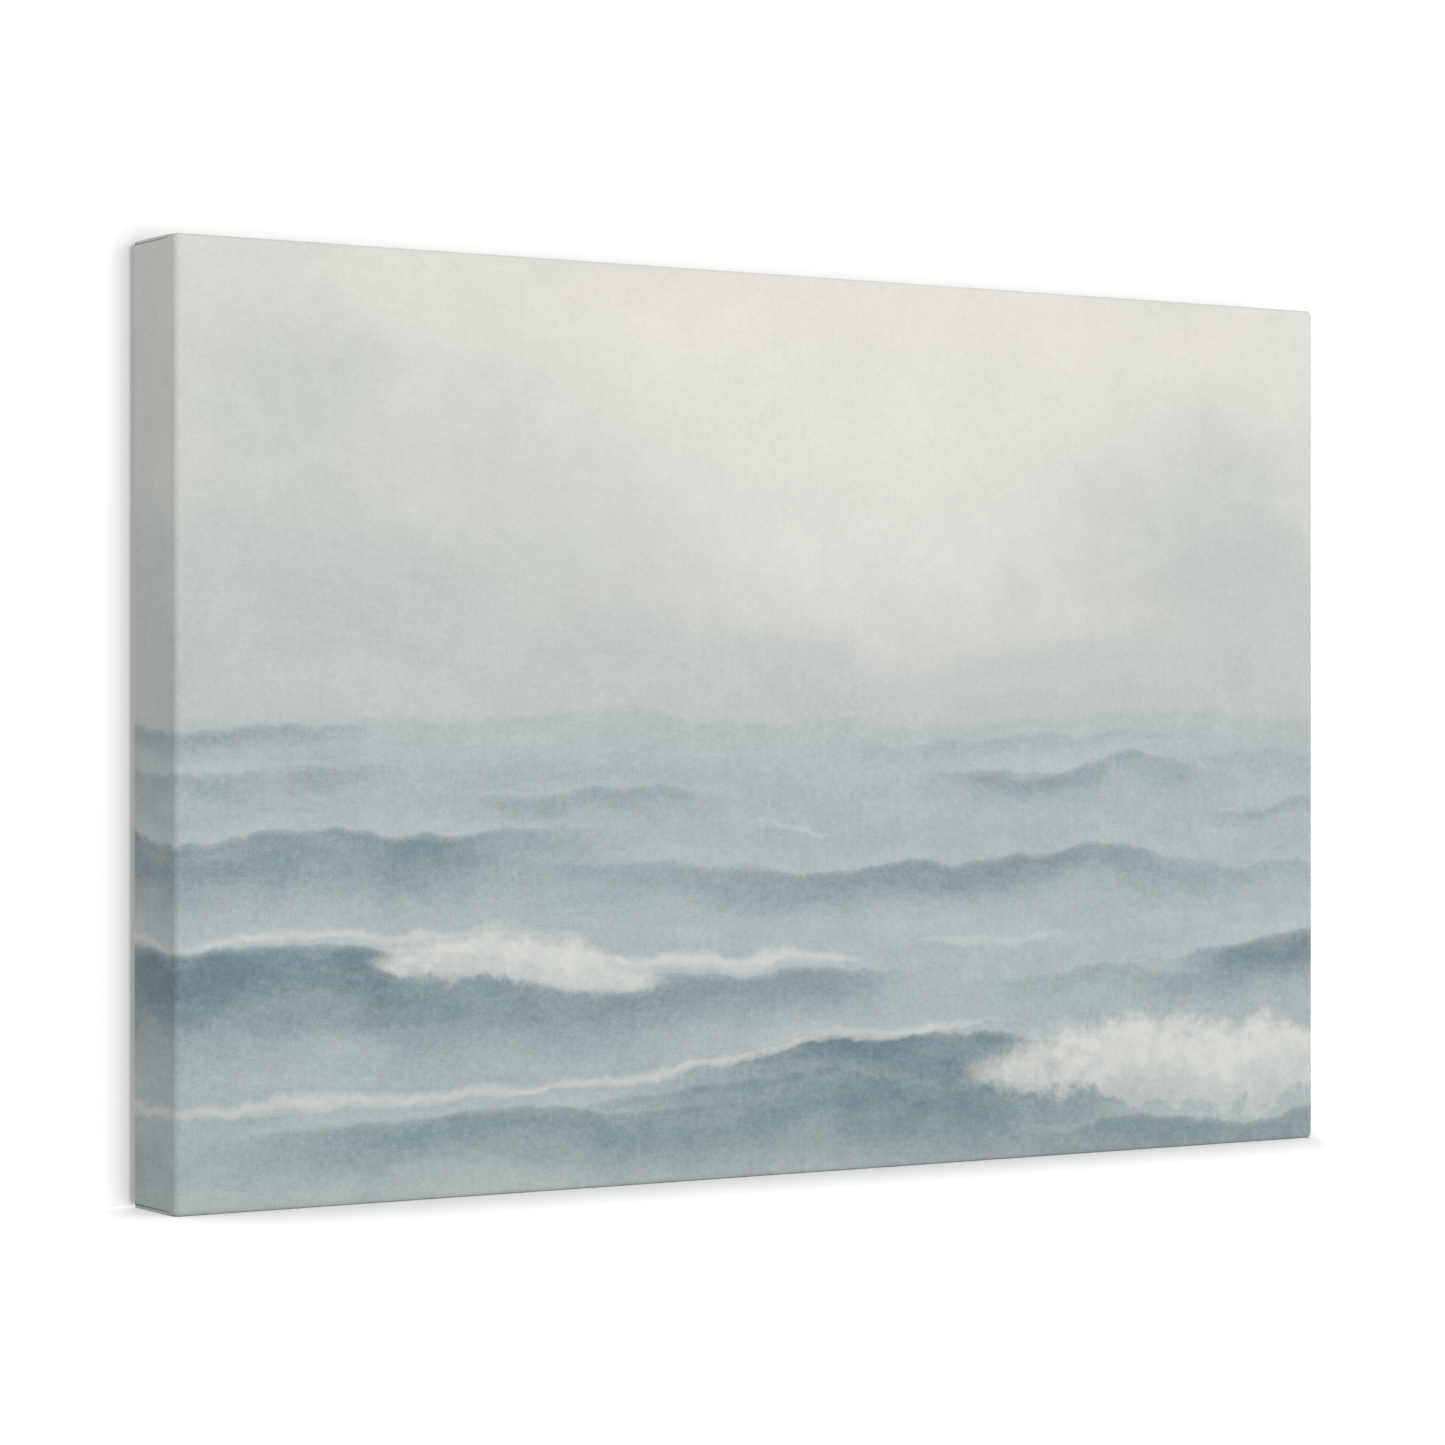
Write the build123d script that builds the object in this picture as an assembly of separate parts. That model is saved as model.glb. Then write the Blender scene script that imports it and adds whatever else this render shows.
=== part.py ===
"""Gallery-wrapped stretched canvas, 18 x 12 x 1 1/4 inches, on a keyed pine stretcher frame.

Row frame: X along the width, Z up, Y from the printed front (low Y) to the wall side (high Y).
The origin is at the bottom centre of the whole part. All lengths are in millimetres.
"""

import math
import os

from build123d import *

# Overall size of the wrapped frame
INCH = 25.4
WIDTH = 18 * INCH
HEIGHT = 12 * INCH
DEPTH = 1.25 * INCH
EDGE_RADIUS = 1.8

# Canvas sheet
CANVAS_T = 0.45
WOOD_GAP = 0.05
SKIN = CANVAS_T + WOOD_GAP
FLAP = 32.0
FOLD_T = 2 * CANVAS_T
FOLD_MARGIN = 2.0
FOLD_GAP = 0.1
LAP_T = CANVAS_T

# Stretcher bars: width across the frame, raised front lip, bevel that keeps the canvas off the wood
BAR_WIDTH = 38.0
BAR_DEPTH = DEPTH - 2 * SKIN
LIP_WIDTH = 5.0
BEVEL_DROP = 6.0
EASED_EDGE = 1.5
BAR_LENGTH_X = WIDTH - 2 * SKIN
BAR_LENGTH_Z = HEIGHT - 2 * SKIN

# Corner joint, as layers through the depth of the bar, counted from its front
LAYER_RAIL_TONGUE = (11.0, 16.0)
LAYER_STILE_TONGUE = (16.0, 21.0)
JOINT_GAP = 0.1
TONGUE_SETBACK = 0.6
OVERCUT = 1.0

# Corner keys: thin wedges that spread the joint
KEY_LENGTH = 38.0
KEY_TIP = 8.0
KEY_HEAD = 16.0
KEY_INSERT = 26.0
KEY_THICKNESS = 4.6
KEY_TIP_CHAMFER = 1.5
KEY_EASE = 0.3

# Wire staples
STAPLE_CROWN = 11.0
STAPLE_LEG = 6.5
STAPLE_WIRE_W = 1.2
STAPLE_WIRE_T = 0.5
STAPLE_ROUND = 0.45
STAPLE_LINE = 14.0
STAPLE_END_X = 42.0
STAPLE_END_Z = 42.0
STAPLES_X = 9
STAPLES_Z = 6
CORNER_STAPLE = 13.0
STAPLE_TILT = 7.0
TILT_STEP = 2.3

# Sawtooth hanger and its two nails
HANGER_TAB = 8.0
TAB_ROUND = 2.6
HANGER_RAMP = 4.0
HANGER_BRIDGE = 24.0
HANGER_BOW = 1.7
HANGER_T = 0.8
HANGER_HEIGHT = 9.0
HANGER_DROP = 26.0
TOOTH_PITCH = 4.0
TOOTH_DEPTH = 2.0
TEETH = 5
NAIL_R = 0.7
NAIL_TIP_R = 0.1
NAIL_HOLE_R = 0.9
NAIL_HEAD_R = 2.0
NAIL_HEAD_T = 0.9
NAIL_HEAD_ROUND = 0.7
NAIL_LENGTH = 12.0

# Rubber bumpers
BUMPER_R = 6.0
BUMPER_TOP_R = 5.0
BUMPER_T = 3.0
BUMPER_INSET = 21.0
BUMPER_ROUND = 0.7

FRONT_Y = -(DEPTH + LAP_T + BUMPER_T) / 2
BACK_Y = FRONT_Y + DEPTH
LAP_Y = BACK_Y + LAP_T
BAR_FRONT_Y = FRONT_Y + SKIN

SIDES_X = (("left", -1), ("right", 1))
SIDES_Z = (("bottom", -1), ("top", 1))


def rounded_block(inset, radius):
    """The wrapped frame's outer block, shrunk by inset on every side, with every edge rounded."""
    block = Box(WIDTH - 2 * inset, DEPTH - 2 * inset, HEIGHT - 2 * inset)
    block = Pos(0, (FRONT_Y + BACK_Y) / 2, HEIGHT / 2) * block
    return fillet(block.edges(), radius)


def fold_outline():
    """A tuck's triangle, as (inwards, back) points from the front corner of a top or bottom side."""
    start, end = FOLD_MARGIN, DEPTH - FOLD_MARGIN
    return [(start, start), (end, end), (start, end)]


def relief_outline():
    """What the bars lose under a tuck: its triangle, run on past the side and the back of the bar."""
    start = FOLD_MARGIN - FOLD_GAP
    end = DEPTH + OVERCUT
    return [(-OVERCUT, start), (start, start), (end, end), (-OVERCUT, end)]


def at_corners(outline, depth):
    """Prisms over an outline on the top and bottom sides, one at each corner of the frame.

    Each starts half way through the outer layer, so that a tuck joins it.
    """
    prism = extrude(make_face(Polyline(*outline, close=True)), depth)
    prisms = []
    for _, sx in SIDES_X:
        for _, sz in SIDES_Z:
            piece = prism if sz < 0 else mirror(prism, Plane.XY)
            if sx > 0:
                piece = mirror(piece, Plane.YZ)
            z = CANVAS_T / 2 if sz < 0 else HEIGHT - CANVAS_T / 2
            prisms.append(Pos(sx * WIDTH / 2, FRONT_Y, z) * piece)
    return prisms


def corner_laps():
    """On the back, the ends of the top and bottom flaps lie over the ends of the side flaps."""
    size = FLAP - FOLD_MARGIN
    pad = Box(size, LAP_T, size)
    from_edge = (FLAP + FOLD_MARGIN) / 2
    laps = []
    for _, sx in SIDES_X:
        for _, sz in SIDES_Z:
            z = HEIGHT / 2 + sz * (HEIGHT / 2 - from_edge)
            laps.append(Pos(sx * (WIDTH / 2 - from_edge), BACK_Y + LAP_T / 2, z) * pad)
    return laps


def canvas_sheet():
    """One cloth: front, four sides, tucked corner folds, and the flaps turned on to the back."""
    tray = rounded_block(0, EDGE_RADIUS) - rounded_block(CANVAS_T, EDGE_RADIUS - CANVAS_T)
    window = Box(WIDTH - 2 * FLAP, DEPTH, HEIGHT - 2 * FLAP)
    tray -= Pos(0, BACK_Y, HEIGHT / 2) * window
    for extra in at_corners(fold_outline(), FOLD_T + CANVAS_T / 2) + corner_laps():
        tray += extra
    return tray


def bar_profile():
    """Section of a bar: x runs inwards from the outer face, y from the canvas to the wall."""
    outline = Polyline(
        (0, 0),
        (LIP_WIDTH, 0),
        (BAR_WIDTH, BEVEL_DROP),
        (BAR_WIDTH, BAR_DEPTH),
        (0, BAR_DEPTH),
        close=True,
    )
    face = make_face(outline)
    inner = face.vertices().filter_by(lambda v: v.X > LIP_WIDTH)
    return fillet(inner, EASED_EDGE)


def layer_prism(points, low, high):
    """A prism over (along, inwards) points, between two depths. Its axes are along, inwards, depth."""
    return Pos(0, 0, low) * extrude(make_face(Polyline(*points, close=True)), high - low)


def key_outline(grow):
    """The wedge's outline from its tip, as (across, inwards) points beside the tongue it pushes.

    across is counted from the tongue's edge, and inwards from the bar's outer face.
    """
    tip = BAR_WIDTH - KEY_INSERT
    head = tip + KEY_LENGTH
    near, far = JOINT_GAP - grow, JOINT_GAP + grow
    return [
        (near, tip - grow),
        (far + KEY_TIP, tip - grow),
        (far + KEY_HEAD, head),
        (near, head),
    ]


def corner_cuts(tongue, slot):
    """What a bar loses at the end where along is 0: the mitre, the other tongue's slot, the key's slot."""
    out, over = -OVERCUT, BAR_WIDTH + OVERCUT
    shoulder = BAR_WIDTH + JOINT_GAP
    triangle = [(out, out - JOINT_GAP), (over + JOINT_GAP, over), (out, over)]
    square = [(TONGUE_SETBACK, out), (shoulder, out), (shoulder, over), (TONGUE_SETBACK, over)]
    mitre = layer_prism(triangle, -OVERCUT, BAR_DEPTH + OVERCUT)
    mitre -= layer_prism(square, tongue[0] + JOINT_GAP, tongue[1] - JOINT_GAP)
    passage = layer_prism([(out, out), (shoulder, out), (shoulder, over), (out, over)], *slot)
    wedge = [(BAR_WIDTH + across, inwards) for across, inwards in key_outline(JOINT_GAP)]
    return [mitre, passage, layer_prism(wedge, *slot)]


def bar(length, tongue, slot):
    """A bar in its own axes: along, inwards, depth. Both its ends carry the corner joint."""
    section = Plane(origin=(0, 0, 0), x_dir=(0, 1, 0), z_dir=(1, 0, 0))
    body = extrude(section * bar_profile(), length)
    middle = Plane(origin=(length / 2, 0, 0), z_dir=(1, 0, 0))
    for cut in corner_cuts(tongue, slot):
        body -= cut
        body -= mirror(cut, middle)
    return body


def place(shape, x_dir, z_dir, origin):
    """Carries a shape from its own axes into the row frame."""
    return Plane(origin=origin, x_dir=x_dir, z_dir=z_dir) * shape


def stretcher_bars():
    """Two rails along X and two stiles along Z, trimmed to the rounded block."""
    block = rounded_block(SKIN, EDGE_RADIUS - CANVAS_T)
    rail = bar(BAR_LENGTH_X, LAYER_RAIL_TONGUE, LAYER_STILE_TONGUE)
    stile = bar(BAR_LENGTH_Z, LAYER_STILE_TONGUE, LAYER_RAIL_TONGUE)
    half_x, half_z, middle_z = BAR_LENGTH_X / 2, BAR_LENGTH_Z / 2, HEIGHT / 2
    flip_rail = mirror(rail, Plane.XZ)
    flip_stile = mirror(stile, Plane.XZ)
    turn_up = dict(x_dir=(1, 0, 0), z_dir=(0, 1, 0))
    turn_side = dict(x_dir=(0, 0, 1), z_dir=(0, 1, 0))
    placed = {
        "stretcher_bar_top": place(rail, origin=(-half_x, BAR_FRONT_Y, middle_z + half_z), **turn_up),
        "stretcher_bar_bottom": place(
            flip_rail, origin=(-half_x, BAR_FRONT_Y, middle_z - half_z), **turn_up
        ),
        "stretcher_bar_left": place(
            stile, origin=(-half_x, BAR_FRONT_Y, middle_z - half_z), **turn_side
        ),
        "stretcher_bar_right": place(
            flip_stile, origin=(half_x, BAR_FRONT_Y, middle_z - half_z), **turn_side
        ),
    }
    reliefs = at_corners(relief_outline(), FOLD_T + CANVAS_T / 2 + FOLD_GAP)
    return {name: (shape & block) - reliefs for name, shape in placed.items()}


def key_blank():
    """A key in its own axes: across, inwards, depth, with its straight edge on the tongue's side."""
    outline = make_face(Polyline(*key_outline(0), close=True))
    tips = outline.vertices().sort_by(Axis.Y)[:2]
    outline = chamfer(tips, KEY_TIP_CHAMFER)
    solid = extrude(outline, KEY_THICKNESS)
    return chamfer(solid.edges().group_by(Axis.Z)[0] + solid.edges().group_by(Axis.Z)[-1], KEY_EASE)


def corner_keys():
    """Two keys at each corner: one driven into the rail beside the stile's tongue, one the other way.

    Both are drawn for the top left corner, and mirrored to the others.
    """
    blank = key_blank()
    slack = (LAYER_RAIL_TONGUE[1] - LAYER_RAIL_TONGUE[0] - KEY_THICKNESS) / 2
    rail_y = BAR_FRONT_Y + LAYER_STILE_TONGUE[0] + slack
    stile_y = BAR_FRONT_Y + LAYER_RAIL_TONGUE[0] + slack
    edge_x, edge_z = WIDTH / 2 - SKIN, HEIGHT / 2 - SKIN
    keys = {}
    for name_z, sz in SIDES_Z:
        for name_x, sx in SIDES_X:
            in_rail = place(
                blank, (1, 0, 0), (0, 1, 0), (-edge_x + BAR_WIDTH, rail_y, HEIGHT / 2 + edge_z)
            )
            across_down = mirror(blank, Plane.YZ)
            in_stile = place(
                across_down, (0, 0, 1), (0, 1, 0), (-edge_x, stile_y, HEIGHT / 2 + edge_z - BAR_WIDTH)
            )
            for where, key in (("rail", in_rail), ("stile", in_stile)):
                if sx > 0:
                    key = mirror(key, Plane.YZ)
                if sz < 0:
                    key = mirror(key, Plane(origin=(0, 0, HEIGHT / 2), z_dir=(0, 0, 1)))
                keys[f"key_{name_z}_{name_x}_{where}"] = key
    return keys


def staple():
    """One staple in its own axes: crown along X on the plane Y = 0, legs towards low Y."""
    half = STAPLE_CROWN / 2
    outer = make_face(
        Polyline(
            (-half, STAPLE_WIRE_T),
            (half, STAPLE_WIRE_T),
            (half, -STAPLE_LEG),
            (half - STAPLE_WIRE_T, -STAPLE_LEG),
            (half - STAPLE_WIRE_T, 0),
            (-half + STAPLE_WIRE_T, 0),
            (-half + STAPLE_WIRE_T, -STAPLE_LEG),
            (-half, -STAPLE_LEG),
            close=True,
        )
    )
    shoulders = outer.vertices().filter_by(lambda v: v.Y > STAPLE_WIRE_T / 2)
    outer = fillet(shoulders, STAPLE_ROUND)
    return Pos(0, 0, -STAPLE_WIRE_W / 2) * extrude(outer, STAPLE_WIRE_W)


def staple_rows():
    """Staples along each flap, none of them quite straight, and one across each corner fold."""
    blank = staple()
    reach_x, reach_z = WIDTH / 2 - STAPLE_END_X, HEIGHT / 2 - STAPLE_END_Z
    rows = {}
    for name_z, sz in SIDES_Z:
        row = []
        for i in range(STAPLES_X):
            x = reach_x * (2 * i / (STAPLES_X - 1) - 1)
            tilt = STAPLE_TILT * math.sin(TILT_STEP * i + sz)
            z = HEIGHT / 2 + sz * (HEIGHT / 2 - STAPLE_LINE)
            row.append(Pos(x, BACK_Y, z) * Rot(0, tilt, 0) * blank)
        rows[f"staples_{name_z}"] = Compound(children=row)
    for name_x, sx in SIDES_X:
        row = []
        for i in range(STAPLES_Z):
            z = HEIGHT / 2 + reach_z * (2 * i / (STAPLES_Z - 1) - 1)
            tilt = 90 + STAPLE_TILT * math.sin(TILT_STEP * i + sx)
            x = sx * (WIDTH / 2 - STAPLE_LINE)
            row.append(Pos(x, BACK_Y, z) * Rot(0, tilt, 0) * blank)
        rows[f"staples_{name_x}"] = Compound(children=row)
    corners = []
    for _, sx in SIDES_X:
        for _, sz in SIDES_Z:
            x = sx * (WIDTH / 2 - CORNER_STAPLE)
            z = HEIGHT / 2 + sz * (HEIGHT / 2 - CORNER_STAPLE)
            corners.append(Pos(x, LAP_Y, z) * Rot(0, 45 * sx * sz, 0) * blank)
    rows["staples_corners"] = Compound(children=corners)
    return rows


def hanger_holes_x():
    """How far each of the hanger's two nail holes is from its middle."""
    return HANGER_BRIDGE / 2 + HANGER_RAMP + HANGER_TAB / 2


def sawtooth_hanger():
    """A bowed steel strip with teeth along its lower edge, that hooks on a nail head."""
    bridge, ramp_end = HANGER_BRIDGE / 2, HANGER_BRIDGE / 2 + HANGER_RAMP
    end = ramp_end + HANGER_TAB
    lower = [(-end, 0), (-ramp_end, 0), (-bridge, HANGER_BOW)]
    lower += [(-x, y) for x, y in reversed(lower)]
    upper = [(x, y + HANGER_T) for x, y in reversed(lower)]
    strip = extrude(make_face(Polyline(*lower, *upper, close=True)), HANGER_HEIGHT)
    through = 2 * (HANGER_BOW + HANGER_T)
    for i in range(TEETH):
        x = TOOTH_PITCH * (i - (TEETH - 1) / 2)
        half = TOOTH_PITCH / 2
        notch = [(x - half, 0), (x + half, 0), (x, TOOTH_DEPTH)]
        prism = extrude(Plane.XZ * make_face(Polyline(*notch, close=True)), -through)
        strip -= prism
    for sx in (-1, 1):
        hole = Cylinder(NAIL_HOLE_R, through)
        strip -= Pos(sx * hanger_holes_x(), 0, HANGER_HEIGHT / 2) * Rot(90, 0, 0) * hole
    corners = strip.edges().filter_by(Axis.Y).filter_by(lambda e: abs(e.center().X) > ramp_end)
    strip = fillet(corners, TAB_ROUND)
    return Pos(0, BACK_Y, HEIGHT - HANGER_DROP - HANGER_HEIGHT / 2) * strip


def hanger_nails():
    """Two round-headed nails through the hanger's tabs."""
    nails = []
    for sx in (-1, 1):
        shank = Pos(0, 0, -NAIL_LENGTH / 2) * Cylinder(NAIL_R, NAIL_LENGTH)
        point = Pos(0, 0, -NAIL_LENGTH - NAIL_R) * Cone(NAIL_TIP_R, NAIL_R, 2 * NAIL_R)
        head = Pos(0, 0, NAIL_HEAD_T / 2) * Cylinder(NAIL_HEAD_R, NAIL_HEAD_T)
        head = fillet(head.edges().group_by(Axis.Z)[-1], NAIL_HEAD_ROUND)
        nail = Rot(-90, 0, 0) * (shank + point + head)
        z = HEIGHT - HANGER_DROP
        nails.append(Pos(sx * hanger_holes_x(), BACK_Y + HANGER_T, z) * nail)
    return Compound(children=nails)


def bumper(sx):
    """A soft round foot on the lower corner of the back, stuck to the lapped cloth."""
    foot = Cone(BUMPER_R, BUMPER_TOP_R, BUMPER_T)
    foot = fillet(foot.edges().group_by(Axis.Z)[-1], BUMPER_ROUND)
    x = sx * (WIDTH / 2 - BUMPER_INSET)
    return Pos(x, LAP_Y + BUMPER_T / 2, BUMPER_INSET) * Rot(-90, 0, 0) * foot


def main():
    fasteners = staple_rows()
    fasteners["hanger_nails"] = hanger_nails()
    driven = [solid for group in fasteners.values() for solid in group.solids()]
    parts = {"canvas": canvas_sheet()}
    parts.update(stretcher_bars())
    for name in parts:
        parts[name] -= driven
    parts.update(fasteners)
    parts.update(corner_keys())
    parts["sawtooth_hanger"] = sawtooth_hanger()
    for name_x, sx in SIDES_X:
        parts[f"bumper_{name_x}"] = bumper(sx)
    os.makedirs("parts", exist_ok=True)
    for name, shape in parts.items():
        export_step(shape, f"parts/{name}.step")


main()
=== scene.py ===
"""The looks of a gallery-wrapped canvas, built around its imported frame.

Lengths are in metres in the frame's own axes: X along the width, Z up, the printed face towards -Y.
"""

import math

import bmesh
import bpy
import numpy as np
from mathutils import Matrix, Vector, noise


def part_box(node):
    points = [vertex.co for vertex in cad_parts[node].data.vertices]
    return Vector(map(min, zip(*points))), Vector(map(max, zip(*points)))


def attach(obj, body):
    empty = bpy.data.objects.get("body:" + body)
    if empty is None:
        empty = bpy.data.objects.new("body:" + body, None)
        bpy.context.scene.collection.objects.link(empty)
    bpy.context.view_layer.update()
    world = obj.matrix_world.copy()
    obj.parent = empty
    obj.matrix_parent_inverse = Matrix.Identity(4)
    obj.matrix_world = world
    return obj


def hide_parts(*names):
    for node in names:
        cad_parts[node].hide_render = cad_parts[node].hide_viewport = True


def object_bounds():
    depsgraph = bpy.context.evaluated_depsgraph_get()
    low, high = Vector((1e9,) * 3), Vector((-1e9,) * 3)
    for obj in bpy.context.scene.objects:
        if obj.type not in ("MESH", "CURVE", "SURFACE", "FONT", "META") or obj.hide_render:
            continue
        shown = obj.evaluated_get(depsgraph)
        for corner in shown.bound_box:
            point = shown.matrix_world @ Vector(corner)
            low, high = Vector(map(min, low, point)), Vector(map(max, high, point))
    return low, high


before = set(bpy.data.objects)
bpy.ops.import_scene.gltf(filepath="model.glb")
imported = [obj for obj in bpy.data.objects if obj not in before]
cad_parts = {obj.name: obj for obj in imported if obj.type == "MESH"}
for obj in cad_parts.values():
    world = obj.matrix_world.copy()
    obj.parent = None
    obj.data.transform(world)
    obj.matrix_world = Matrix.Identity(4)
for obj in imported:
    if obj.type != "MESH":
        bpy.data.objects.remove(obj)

CAD_LOW, CAD_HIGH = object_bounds()
MM = 0.001

# The wrapped frame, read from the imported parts
CLOTH_LOW, CLOTH_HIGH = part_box("canvas")
BAR_LOW, BAR_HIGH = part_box("stretcher_bar_top")
WIDTH = CLOTH_HIGH.x - CLOTH_LOW.x
HEIGHT = CLOTH_HIGH.z - CLOTH_LOW.z
FRONT_Y = CLOTH_LOW.y
DEPTH = (BAR_HIGH.y - FRONT_Y) + (BAR_LOW.y - FRONT_Y)

# The cloth. Folded layers lie LAYER apart, and the sheet's middle surface lies MIDDLE inside its outside
CLOTH_T = 0.42 * MM
LAYER = 0.46 * MM
MIDDLE = CLOTH_T / 2 + 0.02 * MM
EDGE_ROUND = 1.8 * MM
BEND = EDGE_ROUND - MIDDLE
TUCK_BEND = 0.75 * MM
TUCK_SLOPE = 0.95
FLAP = 32 * MM
PRINT_PAST_EDGE = 6 * MM
PRINT_FADE = 0.4 * MM
FOLD_END = 2.5 * MM
FOLD_GROWS_OVER = 7 * MM
FLAP_END_INSET = 0.30 * MM
FLAP_END_SLANT = 0.07
FLAP_STEP_DOWN = 7 * MM

# How far the taut cloth strays: on the face, and on the back between staples, more so at the cut edge
BROAD_WAVE = 0.10 * MM
FINE_WAVE = 0.03 * MM
CALM_EDGE = 12 * MM
HELD_BY_STAPLE = (4 * MM, 16 * MM)
HELD_BY_EDGE = 10 * MM
PUCKER = 0.12 * MM
CUT_EDGE_PUCKER = 0.45 * MM

# How finely the mesh is divided
FACE_COLUMNS = 152
FACE_ROWS = 102
BEND_ROWS = 7
SIDE_ROWS = 18
SIDE_ROWS_CROWD = 1.4
FLAP_ROWS = 12
HAIRPIN_STEPS = 7
TUCK_STEPS = 6
TINY = 0.01 * MM
SHARP_ANGLE = math.radians(50)

HALF_X = WIDTH / 2 - MIDDLE
HALF_Z = HEIGHT / 2 - MIDDLE
MID_DEPTH = DEPTH - 2 * MIDDLE
BEND_RUN = math.pi / 2 * BEND


def smoothstep(low, high, x):
    """0 below low, 1 above high, and smooth between them."""
    k = min(1.0, max(0.0, (x - low) / (high - low)))
    return k * k * (3 - 2 * k)


# ---------------------------------------------------------------------------------------------------------
# The cloth's shape
# ---------------------------------------------------------------------------------------------------------


def side_stations():
    """Rows from the face's edge to the end of the tucks: (inset, depth, run beyond the face's edge)."""
    rows = []
    for k in range(BEND_ROWS + 1):
        turn = math.pi / 2 * k / BEND_ROWS
        inset = BEND * (1 - math.sin(turn))
        rows.append((inset, BEND * (1 - math.cos(turn)), BEND * turn - BEND - MIDDLE))
    reach = MID_DEPTH - FOLD_END - BEND
    for k in range(1, SIDE_ROWS + 1):
        depth = BEND + reach * (k / SIDE_ROWS) ** SIDE_ROWS_CROWD
        rows.append((0.0, depth, depth + BEND_RUN - 2 * BEND - MIDDLE))
    return rows


def back_stations():
    """Rows from the end of the tucks, round the back edge, to the cut edge.

    Each is (inset, depth, how far it has turned to the back from 0 to 1, run beyond the face's edge).
    """
    start = MID_DEPTH - FOLD_END
    run = start + BEND_RUN - 2 * BEND - MIDDLE
    rows = [(0.0, start, 0.0, run)]
    straight = MID_DEPTH - BEND - start
    rows.append((0.0, start + straight, 0.0, run + straight))
    for k in range(1, BEND_ROWS + 1):
        turn = math.pi / 2 * k / BEND_ROWS
        depth = MID_DEPTH - BEND + BEND * math.sin(turn)
        rows.append((BEND * (1 - math.cos(turn)), depth, math.sin(turn), run + straight + BEND * turn))
    for k in range(1, FLAP_ROWS + 1):
        inset = BEND + (FLAP - BEND) * k / FLAP_ROWS
        rows.append((inset, MID_DEPTH, 1.0, run + straight + BEND_RUN + inset - BEND))
    return rows


def tuck_levels(depth):
    """At a depth: the gap between folded layers, the outer flap's folded edge, and the side's bend."""
    grown = smoothstep(BEND, BEND + FOLD_GROWS_OVER, depth)
    gap = max(LAYER * grown, TINY) if depth > BEND else 0.0
    edge = BEND + (FLAP_END_INSET - BEND) * grown
    bend = BEND + (TUCK_BEND - BEND) * grown
    return gap, edge, bend


def corner_section(inset, depth, run):
    """The cloth round the lower left corner at one depth, from the left side to the bottom side.

    Rows of (u, w, p, q): u inwards from the left side, w up from the bottom; p and q are how far the
    point lies beyond the face's left and lower edges on the flat cloth. The side's cloth turns the corner,
    runs inwards under the bottom flap, folds back on itself along the diagonal and folds out again at the
    corner.
    """
    gap, edge, bend = tuck_levels(depth)
    radius = bend - inset
    tuck = max(edge, BEND + TUCK_SLOPE * (depth - BEND)) if depth > BEND else radius
    edge = edge if depth > BEND else radius
    rows = []
    for k in range(BEND_ROWS + 1):
        turn = math.pi / 2 * k / BEND_ROWS
        u = radius * (1 - math.cos(turn))
        w = 2 * gap + radius * (1 - math.sin(turn))
        rows.append((u, w, run, radius * turn - radius - 2 * gap - MIDDLE - inset))
    start = rows[-1][3]
    for k in range(1, TUCK_STEPS + 1):
        u = radius + (tuck - radius) * k / TUCK_STEPS
        rows.append((u, 2 * gap, run, start + u - radius))
    last_q = rows[-1][3]
    for k in range(1, HAIRPIN_STEPS + 1):
        turn = math.pi * k / HAIRPIN_STEPS
        mix = k / HAIRPIN_STEPS
        u = tuck + gap / 2 * math.sin(turn)
        w = 1.5 * gap + gap / 2 * math.cos(turn)
        rows.append((u, w, run + (tuck - run) * mix, last_q + (run - last_q) * mix))
    for k in range(1, TUCK_STEPS + 1):
        u = tuck + (edge - tuck) * k / TUCK_STEPS
        rows.append((u, gap, u, run))
    for k in range(1, HAIRPIN_STEPS + 1):
        turn = math.pi * k / HAIRPIN_STEPS
        u = edge - gap / 2 * math.sin(turn)
        w = gap / 2 + gap / 2 * math.cos(turn)
        side = 1 - 2 * k / HAIRPIN_STEPS
        rows.append((u, w, edge * side - (MIDDLE + inset) * (1 - side) / 2, run))
    return rows


def corner_points(inset, depth, run, sx, sz):
    """A corner's section as (x, z, flat s, flat t), for the corner at sides sx and sz."""
    points = []
    for u, w, p, q in corner_section(inset, depth, run):
        x = sx * (HALF_X - inset - u)
        z = sz * (HALF_Z - inset - w)
        points.append((x, z, sx * (WIDTH / 2 + p), sz * (HEIGHT / 2 + q)))
    return points


def straight_points(start, end, steps):
    """The points between two points, without them."""
    return [tuple(a + (b - a) * k / steps for a, b in zip(start, end)) for k in range(1, steps)]


def ring(inset, depth, run):
    """The whole cloth's section at one depth, as a closed row that starts at the lower left corner."""
    lower_left = corner_points(inset, depth, run, -1, -1)
    lower_right = corner_points(inset, depth, run, 1, -1)[::-1]
    upper_right = corner_points(inset, depth, run, 1, 1)
    upper_left = corner_points(inset, depth, run, -1, 1)[::-1]
    row = lower_left + straight_points(lower_left[-1], lower_right[0], FACE_COLUMNS)
    row += lower_right + straight_points(lower_right[-1], upper_right[0], FACE_ROWS)
    row += upper_right + straight_points(upper_right[-1], upper_left[0], FACE_COLUMNS)
    row += upper_left + straight_points(upper_left[-1], lower_left[0], FACE_ROWS)
    return [(x, depth, z, s, t) for x, z, s, t in row]


def face_grid():
    """The printed face's rows, from the bottom up."""
    half_x, half_z = HALF_X - BEND, HALF_Z - BEND
    rows = []
    for j in range(FACE_ROWS + 1):
        z = half_z * (2 * j / FACE_ROWS - 1)
        xs = [half_x * (2 * i / FACE_COLUMNS - 1) for i in range(FACE_COLUMNS + 1)]
        rows.append([(x, 0.0, z, x, z) for x in xs])
    return rows


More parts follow.
